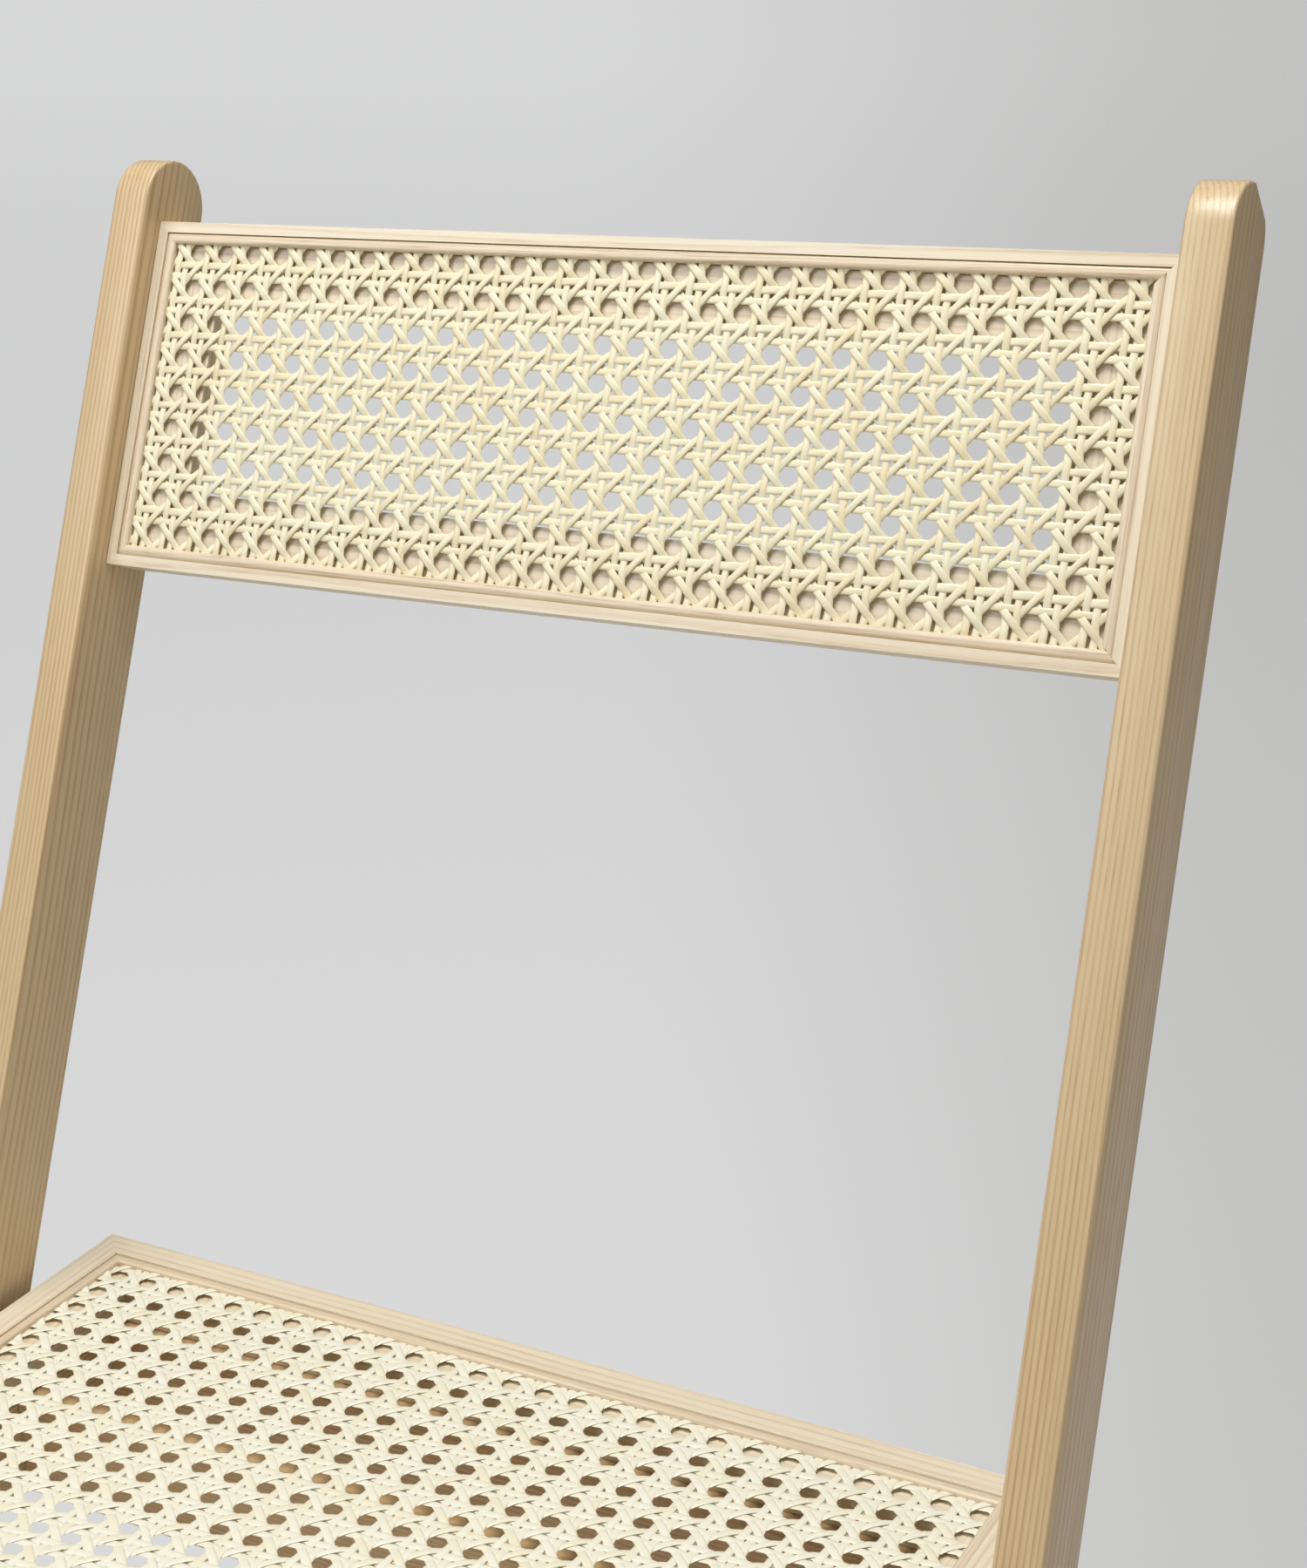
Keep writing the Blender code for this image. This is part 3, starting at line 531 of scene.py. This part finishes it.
def ash_group():
    """Ash: growth rings round a far pith, with porous dark starts, fine fibres and a slow change of tone.

    A ring's number is the distance from the pith times the rings per metre, and the rest of that
    number tells how far the ring has grown: it darkens in its first tenth and pales till two thirds.
    """
    tree, given, out = group("ash_grain", [
        ("Vector", "NodeSocketVector", None), ("Pale", "NodeSocketColor", (0.71, 0.555, 0.335, 1)),
        ("Line", "NodeSocketColor", (0.54, 0.37, 0.19, 1)), ("Rings per metre", "NodeSocketFloat", 560.0),
        ("Strength", "NodeSocketFloat", 0.85)],
        [("Color", "NodeSocketColor"), ("Height", "NodeSocketFloat"), ("Roughness", "NodeSocketFloat")])
    at = given["Vector"]
    parts = add(tree, "ShaderNodeSeparateXYZ", {0: at}).outputs
    sway = noise(tree, scaled(tree, at, (3.0, 22.0, 22.0)), 1.0, 2.0)
    across = calc(tree, "ADD", parts[1], 0.055)
    deep = calc(tree, "ADD", parts[2], 0.038)
    far = calc(tree, "SQRT", calc(tree, "ADD", calc(tree, "MULTIPLY", across, across),
                                  calc(tree, "MULTIPLY", deep, deep)))
    far = calc(tree, "ADD", far, calc(tree, "MULTIPLY", sway, 0.006))
    turn = calc(tree, "FRACT", calc(tree, "MULTIPLY", far, given["Rings per metre"]))
    early = calc(tree, "MULTIPLY", ramp(tree, turn, 0.0, 0.07), ramp(tree, turn, 0.10, 0.62, 1.0, 0.0))
    pores = ramp(tree, noise(tree, scaled(tree, at, (60.0, 1900.0, 1900.0)), 1.0, 1.0), 0.56, 0.68)
    porous = calc(tree, "ADD", calc(tree, "MULTIPLY", early, 0.75), 0.25)
    pores = calc(tree, "MULTIPLY", pores, porous)
    fibre = noise(tree, scaled(tree, at, (14.0, 620.0, 620.0)), 1.0, 3.0, 0.6)
    slow = noise(tree, scaled(tree, at, (2.2, 26.0, 26.0)), 1.0, 2.0)
    strength = calc(tree, "MULTIPLY", given["Strength"], ramp(tree, slow, 0.25, 0.75, 0.45, 1.25))
    amount = calc(tree, "MULTIPLY", early, strength)
    amount = calc(tree, "ADD", amount, calc(tree, "MULTIPLY", pores, 0.50))
    amount = calc(tree, "ADD", amount, ramp(tree, fibre, 0.35, 0.75, -0.12, 0.34), clamp=True)
    colour = blend(tree, amount, given["Pale"], given["Line"])
    warm = blend(tree, 1.0, colour, (1.0, 0.955, 0.90, 1), "MULTIPLY")
    colour = blend(tree, ramp(tree, slow, 0.35, 0.70), colour, warm)
    tree.links.new(colour, out["Color"])
    tree.links.new(calc(tree, "SUBTRACT", calc(tree, "MULTIPLY", fibre, 0.35), pores), out["Height"])
    dull = calc(tree, "ADD", calc(tree, "MULTIPLY", pores, 0.18), ramp(tree, fibre, 0.3, 0.7, 0.34, 0.44))
    tree.links.new(dull, out["Roughness"])
    return tree


def cane_group():
    """Cane bark: each strand with its own tone, ivory stretches along it and fine lengthwise lines.

    The vector holds the length along the strand, the place across it from -1 to 1 and its own number.
    """
    tree, given, out = group("cane_bark", [
        ("Vector", "NodeSocketVector", None), ("Pale", "NodeSocketColor", (0.90, 0.84, 0.60, 1)),
        ("Golden", "NodeSocketColor", (0.83, 0.70, 0.41, 1)),
        ("Ivory", "NodeSocketColor", (0.92, 0.89, 0.72, 1))],
        [("Color", "NodeSocketColor"), ("Height", "NodeSocketFloat"), ("Roughness", "NodeSocketFloat")])
    parts = add(tree, "ShaderNodeSeparateXYZ", {0: given["Vector"]}).outputs
    own = calc(tree, "MULTIPLY", parts[2], 91.0)
    lengthways = add(tree, "ShaderNodeCombineXYZ", {0: calc(tree, "MULTIPLY", parts[0], 22.0),
                                                    1: calc(tree, "MULTIPLY", parts[1], 4.5), 2: own})
    lines = noise(tree, lengthways.outputs[0], 1.0, 3.0, 0.62)
    along = add(tree, "ShaderNodeCombineXYZ", {0: calc(tree, "MULTIPLY", parts[0], 18.0), 1: 0.0, 2: own})
    slow = noise(tree, along.outputs[0], 1.0, 2.0)
    tone = add(tree, "ShaderNodeTexWhiteNoise", {"W": own}, noise_dimensions="1D").outputs["Value"]
    colour = blend(tree, ramp(tree, tone, 0.45, 1.0, 0.0, 0.55), given["Pale"], given["Golden"])
    colour = blend(tree, ramp(tree, slow, 0.48, 0.72, 0.0, 0.6), colour, given["Ivory"])
    colour = blend(tree, ramp(tree, lines, 0.50, 0.80, 0.0, 0.50), colour, given["Golden"])
    tree.links.new(colour, out["Color"])
    tree.links.new(lines, out["Height"])
    tree.links.new(ramp(tree, lines, 0.3, 0.75, 0.30, 0.48), out["Roughness"])
    return tree


def principled(name, **plain):
    """A material whose shader takes the plain values, named as its sockets are."""
    made = bpy.data.materials.new(name)
    made.use_nodes = True
    shader = made.node_tree.nodes["Principled BSDF"]
    for key, value in plain.items():
        shader.inputs[key.replace("_", " ").title()].default_value = value
    return made, made.node_tree, shader


def grained(name, tree_group, vector, bump=0.12, distance=0.0002, values=None, **plain):
    """A material on one of the shared groups, with the group's colour, roughness and bump on its shader."""
    made, tree, shader = principled(name, **plain)
    grain = add(tree, "ShaderNodeGroup", node_tree=tree_group)
    for key, value in (values or {}).items():
        grain.inputs[key].default_value = value
    tree.links.new(vector(tree), grain.inputs["Vector"])
    tree.links.new(grain.outputs["Color"], shader.inputs["Base Color"])
    tree.links.new(grain.outputs["Roughness"], shader.inputs["Roughness"])
    relief = add(tree, "ShaderNodeBump",
                 {"Strength": bump, "Distance": distance, "Height": grain.outputs["Height"]})
    tree.links.new(relief.outputs[0], shader.inputs["Normal"])
    return made


def attribute(name):
    """A piece's own grain or strand coordinates."""
    return lambda tree: add(tree, "ShaderNodeAttribute", attribute_name=name).outputs["Vector"]


def turned_to(rows, shift):
    """Object coordinates turned so that their X runs along the grain."""
    euler = Matrix(rows).to_euler()

    def build(tree):
        source = add(tree, "ShaderNodeTexCoord").outputs["Object"]
        sockets = {"Vector": source, "Location": shift, "Rotation": euler}
        return add(tree, "ShaderNodeMapping", sockets).outputs[0]
    return build


ash_grain = ash_group()
cane_bark = cane_group()
ASH = grained("ash_lacquered", ash_grain, attribute("grain"), coat_weight=0.45, coat_roughness=0.32)
PALE_ASH = grained("ash_pale", ash_grain, attribute("grain"), 0.10, 0.00015,
                   {"Pale": (0.86, 0.78, 0.61, 1), "Line": (0.71, 0.57, 0.40, 1), "Strength": 0.55},
                   coat_weight=0.35, coat_roughness=0.22)
ACROSS = ((1, 0, 0), (0, 1, 0), (0, 0, 1))
# A darker, warmer copy of the ash: painted shade, for the shade and warm bounced light under the seat where
# the apron sits
ASH_CROSSWAYS_SHADED = grained("ash_crossways_shaded", ash_grain, turned_to(ACROSS, (0.3, 0.01, 0)),
                        values={"Pale": (0.70, 0.50, 0.27, 1), "Line": (0.52, 0.33, 0.15, 1)},
                        coat_weight=0.25, coat_roughness=0.28)
ALONG_SEAT = ((0, cos(SEAT_TILT), -sin(SEAT_TILT)), (1, 0, 0), (0, -sin(SEAT_TILT), -cos(SEAT_TILT)))
ASH_LENGTHWAYS = grained("ash_lengthways", ash_grain, turned_to(ALONG_SEAT, (0, 0, 0)),
                         coat_weight=0.25, coat_roughness=0.28)
REED = grained("reed_lacquered", ash_grain, attribute("grain"), 0.35, 0.0003,
               {"Pale": (0.82, 0.71, 0.53, 1), "Line": (0.60, 0.45, 0.29, 1), "Rings per metre": 1500.0,
                "Strength": 0.45}, coat_weight=0.6, coat_roughness=0.14)
CANE = grained("cane_glossy", cane_bark, attribute("strand"), 0.10, 0.00012,
               coat_weight=0.35, coat_roughness=0.22)
# A paler copy of the cane for the seat: painted light, for the strong light from above on the seat
CANE_PAINTED_LIGHT = grained("cane_painted_light", cane_bark, attribute("strand"), 0.10, 0.00012,
                    {"Pale": (0.93, 0.90, 0.74, 1), "Golden": (0.88, 0.80, 0.57, 1),
                     "Ivory": (0.94, 0.92, 0.81, 1)}, coat_weight=0.35, coat_roughness=0.22)


def plain_metal():
    """Zinc-plated steel: a faint cloudy change of tone and fine scratches."""
    made, tree, shader = principled("zinc_plated", metallic=1.0, roughness=0.32)
    source = add(tree, "ShaderNodeTexCoord").outputs["Object"]
    cloud = ramp(tree, noise(tree, source, 260.0, 4.0), 0.35, 0.65)
    colour = blend(tree, cloud, (0.60, 0.60, 0.59, 1), (0.72, 0.71, 0.68, 1))
    tree.links.new(colour, shader.inputs["Base Color"])
    scratches = ramp(tree, noise(tree, source, 1400.0, 2.0), 0.3, 0.7, 0.26, 0.42)
    tree.links.new(scratches, shader.inputs["Roughness"])
    return made


def plain_nylon():
    """Off-white nylon with a slight mottle."""
    made, tree, shader = principled("nylon_off_white", roughness=0.45)
    source = add(tree, "ShaderNodeTexCoord").outputs["Object"]
    mottle = noise(tree, source, 700.0, 3.0)
    colour = blend(tree, ramp(tree, mottle, 0.35, 0.7), (0.82, 0.80, 0.74, 1), (0.74, 0.72, 0.66, 1))
    tree.links.new(colour, shader.inputs["Base Color"])
    relief = add(tree, "ShaderNodeBump", {"Strength": 0.1, "Distance": 0.0001, "Height": mottle})
    tree.links.new(relief.outputs[0], shader.inputs["Normal"])
    return made


STEEL = plain_metal()
NYLON = plain_nylon()


# The chair

def build_posts():
    """Two posts, each with a round top. Part of the right one's is sawn flat."""
    for name, side, flat in (("left", -1, None), ("right", 1, TOP_FLAT)):
        outline = sawn_outline(POST[1], POST_TOP, POST_LEAN, PIVOT[2], flat)
        board(f"{name}_post", outline, POST[0], side * POST_MIDDLE, BACK, BOARD_EDGE, "back_frame",
              [f"post_{name}"], (0.7 * side, 0.012 * side, 0.004 * side))


def build_legs():
    """Two rear legs, round at the top where they hold the crossbar."""
    outline = sawn_outline(LEG[1], CROSSBAR + LEG[1] / 2, -LEG_LEAN, CROSSING[2])
    for name, side in (("left", -1), ("right", 1)):
        board(f"{name}_rear_leg", outline, LEG[0], side * LEG_MIDDLE, LEGS, BOARD_EDGE, "rear_legs",
              [f"rear_leg_{name}"], (0.4 * side + 2.0, 0.016 * side, -0.01 * side))


def bar(name, radius, clear, along, place, body, node, shift):
    """A round bar with a softened shoulder and a thinner tenon at each end."""
    shoulder, end = clear / 2 - GAP, clear / 2 + TENON[1]
    half = softened([(0, end), (TENON[0], end), (TENON[0], shoulder), (radius, shoulder), (radius, 0)])
    profile = np.concatenate([half[:-1], (half[:-1] * [1, -1])[::-1]])
    turned(name, profile, place @ along_x(0, along), ASH, body, [node], shift)


def build_bars():
    """The two stretchers near the floor and the crossbar under the seat."""
    front = -(PIVOT[2] - FRONT_BAR_HEIGHT) / cos(POST_LEAN)
    rear = -(CROSSING[2] - REAR_BAR_HEIGHT) / cos(LEG_LEAN)
    bar("front_round_stretcher", BAR_RADIUS, SPACING, front, BACK, "back_frame", "front_stretcher",
        (0.2, 0.01, 0))
    bar("rear_round_stretcher", BAR_RADIUS, LEG_SPACING, rear, LEGS, "rear_legs", "rear_stretcher",
        (1.1, 0, 0.02))
    bar("round_crossbar", CROSSBAR_RADIUS, LEG_SPACING, CROSSBAR, LEGS, "rear_legs", "seat_crossbar",
        (1.9, 0.01, 0.01))


def cane_edges(half, lips):
    """The lowest and the highest X and Y of the cane, inside a frame's lips and grooves."""
    front, rear, left, right = (lip + GROOVE[0] - TUCK for lip in lips)
    return (-half[0] + left, -half[1] + front), (half[0] - right, half[1] - rear)


def build_frames():
    """The mitred frames of the back and of the seat, with their reeds."""
    frame_of_rails("back", ("bottom", "top", "left", "right"), BACK_HALF, BACK_LIPS, BACK_RIM,
                   "back_frame", 0.5)
    frame_of_rails("seat", ("front", "rear", "left", "right"), SEAT_HALF, SEAT_LIPS, SEAT_RIM, "seat", 3.7)


def build_cane():
    """The woven cane of the back and of the seat, each with its pitch and the place of one open hole."""
    low, high = cane_edges(BACK_HALF, BACK_LIPS)
    weave = Weave((0.01227, 0.01282), (-0.00175, 0.3932 - BACK_MIDDLE), low, high, 11, STRAND_WIDTH)
    weave_pieces("back", weave, BACK_RIM @ DOWN_TO_CANE, "back_frame", "back_cane", CANE)
    low, high = cane_edges(SEAT_HALF, SEAT_LIPS)
    weave = Weave((0.01287, 0.01244), (-0.06365, 0.03767 - SEAT_MIDDLE), low, high, 23, SEAT_STRAND_WIDTH)
    weave_pieces("seat", weave, SEAT_RIM @ DOWN_TO_CANE, "seat", "seat_cane", CANE_PAINTED_LIGHT)


def bolt(name, side, along, reach, node):
    """A low domed head with a hexagon socket's round mouth, and a shank."""
    t = np.linspace(pi / 2, 0, 8)
    dome = np.column_stack([0.0075 * np.cos(t), 0.0003 + 0.0025 * np.sin(t)])
    socket = [(0, 0.0010), (0.0020, 0.0010), (0.0020, 0.0026)]
    shank = [(BOLT_RADIUS, 0.0003), (BOLT_RADIUS, -reach), (0, -reach)]
    profile = np.concatenate([socket, dome[dome[:, 0] > 0.0023], shank])
    turned(name, profile, BACK @ along_x(side * BOLT_FACE, along, side), STEEL, "back_frame",
           [node])


def sleeve(name, size, side, along, material, node):
    """A washer or a spacer: a ring's section with cut corners, swept round the bolt."""
    outer, near, far = size
    middle, half = side * (near + far) / 2, (far - near) / 2
    edge = min(0.0003, half / 3)
    section = [(outer - edge, half), (outer, half - edge), (outer, edge - half), (outer - edge, -half),
               (SLEEVE_BORE, -half), (SLEEVE_BORE, half), (outer - edge, half)]
    turned(name, section, BACK @ along_x(middle, along), material, "back_frame", [node])


def build_hardware():
    """Bolts, spacers, washers, cap nuts and glides on both sides."""
    glide = softened([(0, 0.012), (0.0015, 0.012), (0.0015, 0.003), (0.0062, 0.003), (0.0062, 0.001),
                      (0.0052, 0), (0, 0)], 0.0003)
    t = np.linspace(0, pi / 2, 8)
    dome = np.column_stack([0.0065 * np.cos(t), -0.0022 - 0.0023 * np.sin(t)])
    nut = np.concatenate([[(0, -0.0027), (0.0033, -0.0027), (0.0033, 0), (0.0062, 0), (0.0065, -0.0003)],
                          dome])
    for name, side in (("left", -1), ("right", 1)):
        bolt(f"{name}_seat_bolt", side, 0.0, SEAT_BOLT_REACH, f"seat_pivot_bolt_{name}")
        bolt(f"{name}_leg_bolt", side, LEG_BOLT, LEG_BOLT_REACH, f"leg_pivot_bolt_{name}")
        sleeve(f"{name}_seat_spacer", SPACER, side, 0.0, STEEL, f"seat_pivot_spacer_{name}")
        sleeve(f"{name}_leg_washer", WASHER, side, LEG_BOLT, NYLON, f"leg_pivot_washer_{name}")
        turned(f"{name}_cap_nut", nut, LEGS @ along_x(side * NUT_FACE, 0, side), STEEL, "rear_legs",
               [f"leg_pivot_nut_{name}"])
        front = BACK @ Matrix.Translation((side * POST_MIDDLE, 0, -PIVOT[2] / cos(POST_LEAN)))
        rear = LEGS @ Matrix.Translation((side * LEG_MIDDLE, 0, -CROSSING[2] / cos(LEG_LEAN)))
        for label, place, lean, body in (("front", front, POST_LEAN, "back_frame"),
                                         ("rear", rear, -LEG_LEAN, "rear_legs")):
            level = place @ Matrix.Rotation(lean, 4, "X")
            turned(f"{name}_{label}_foot_glide", glide, level, NYLON, body,
                   [f"{label}_glide_{name}"])


build_posts()
build_legs()
build_bars()
build_frames()
build_cane()
build_hardware()

# Solids that show as they are built, and what each is made of
KEPT = {"seat_bearer": ASH_LENGTHWAYS, "seat_apron": ASH_CROSSWAYS_SHADED, "back_dowel": ASH_CROSSWAYS_SHADED,
        "seat_pivot_insert": STEEL, "seat_screw": STEEL}
for name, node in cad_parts.items():
    for start, material in KEPT.items():
        if name.startswith(start):
            node.data.materials.clear()
            node.data.materials.append(material)


# Studio

def floor_and_backdrop():
    """A pale floor with the chair's shadow, whose light to the camera is mostly a grey of its own.

    That grey is painted shade and painted light, fixed on the floor: it darkens to the right of a bearing
    from VIEWPOINT, stays pale close to that viewpoint and pales a little far away.
    """
    made, tree, shader = principled("paper", roughness=0.9)
    shader.inputs["Base Color"].default_value = (0.72, 0.72, 0.71, 1)
    own_light, radius, count = 0.8, 14, 96
    source = add(tree, "ShaderNodeTexCoord").outputs["Object"]
    parts = add(tree, "ShaderNodeSeparateXYZ", {0: source}).outputs
    left = calc(tree, "SUBTRACT", VIEWPOINT[0], parts[0])
    ahead = calc(tree, "SUBTRACT", parts[1], VIEWPOINT[1])
    bearing = calc(tree, "ARCTAN2", left, ahead)
    # Painted shade: the grey darkens to the right of the bearing and stays pale close to the viewpoint
    pale = calc(tree, "MAXIMUM", ramp(tree, bearing, 0.26, 0.54), ramp(tree, ahead, 0.2, 0.9, 1.0, 0.0))
    tone = blend(tree, pale, (0.59, 0.59, 0.59, 1), (0.745, 0.75, 0.755, 1))
    # Painted light: the grey brightens a little far away
    strength = ramp(tree, ahead, 2.5, 7.0, 0.98, 1.08)
    glow = add(tree, "ShaderNodeEmission", {"Color": tone, "Strength": strength})
    seen = add(tree, "ShaderNodeLightPath").outputs["Is Camera Ray"]
    part = calc(tree, "MULTIPLY", seen, own_light)
    mix = add(tree, "ShaderNodeMixShader", {0: part, 1: shader.outputs[0], 2: glow.outputs[0]})
    tree.links.new(mix.outputs[0], tree.nodes["Material Output"].inputs["Surface"])
    t = np.linspace(0, 2 * pi, count, endpoint=False)
    points = np.column_stack([radius * np.cos(t), radius * np.sin(t), np.full(count, -0.0005)])
    mesh = bpy.data.meshes.new("floor")
    mesh.from_pydata(points.tolist(), [], [list(range(count))])
    mesh.materials.append(made)
    floor = bpy.data.objects.new("floor", mesh)
    bpy.context.scene.collection.objects.link(floor)


def lamp(name, place, aim, size, power, colour=(1, 1, 1)):
    """A round soft lamp turned to what it aims at."""
    data = bpy.data.lights.new(name, "AREA")
    data.shape = "DISK"
    data.size = size
    data.energy = power
    data.color = colour
    made = bpy.data.objects.new(name, data)
    bpy.context.scene.collection.objects.link(made)
    made.location = place
    made.rotation_euler = (Vector(aim) - Vector(place)).to_track_quat("-Z", "Y").to_euler()


def studio():
    """Floor, three soft lamps and a warm world that the camera sees as plain grey."""
    floor_and_backdrop()
    lamp("overhead", (-0.05, -0.15, 2.6), (0, 0, 0.5), 1.0, 33)
    lamp("upper_left", (-1.05, -1.2, 2.0), (0, 0.1, 0.6), 1.2, 11)
    lamp("right", (2.2, -0.6, 1.4), (0, 0, 0.6), 1.2, 4, (1.0, 0.95, 0.88))
    world = bpy.data.worlds.new("studio")
    bpy.context.scene.world = world
    world.use_nodes = True
    tree = world.node_tree
    tree.nodes.clear()
    light = add(tree, "ShaderNodeBackground", {"Color": (1.0, 0.93, 0.84, 1), "Strength": 0.23})
    wall = add(tree, "ShaderNodeBackground", {"Color": (0.60, 0.605, 0.61, 1), "Strength": 1.0})
    seen = add(tree, "ShaderNodeLightPath").outputs["Is Camera Ray"]
    mix = add(tree, "ShaderNodeMixShader", {0: seen, 1: light.outputs[0], 2: wall.outputs[0]})
    out = add(tree, "ShaderNodeOutputWorld")
    tree.links.new(mix.outputs[0], out.inputs["Surface"])
    bpy.context.scene.view_settings.view_transform = "Standard"


def camera():
    """The photograph's view, off centre and from the chair's right, with its lens and turn as solved."""
    data = bpy.data.cameras.new("camera")
    data.sensor_width = 36
    data.lens = 63.52
    data.shift_x = 0.1020
    data.shift_y = -0.0757
    data.clip_start = 0.05
    made = bpy.data.objects.new("camera", data)
    bpy.context.scene.collection.objects.link(made)
    made.location = VIEWPOINT
    made.rotation_euler = (radians(70.5969), radians(4.5470), radians(31.0313))
    bpy.context.scene.camera = made


studio()
camera()
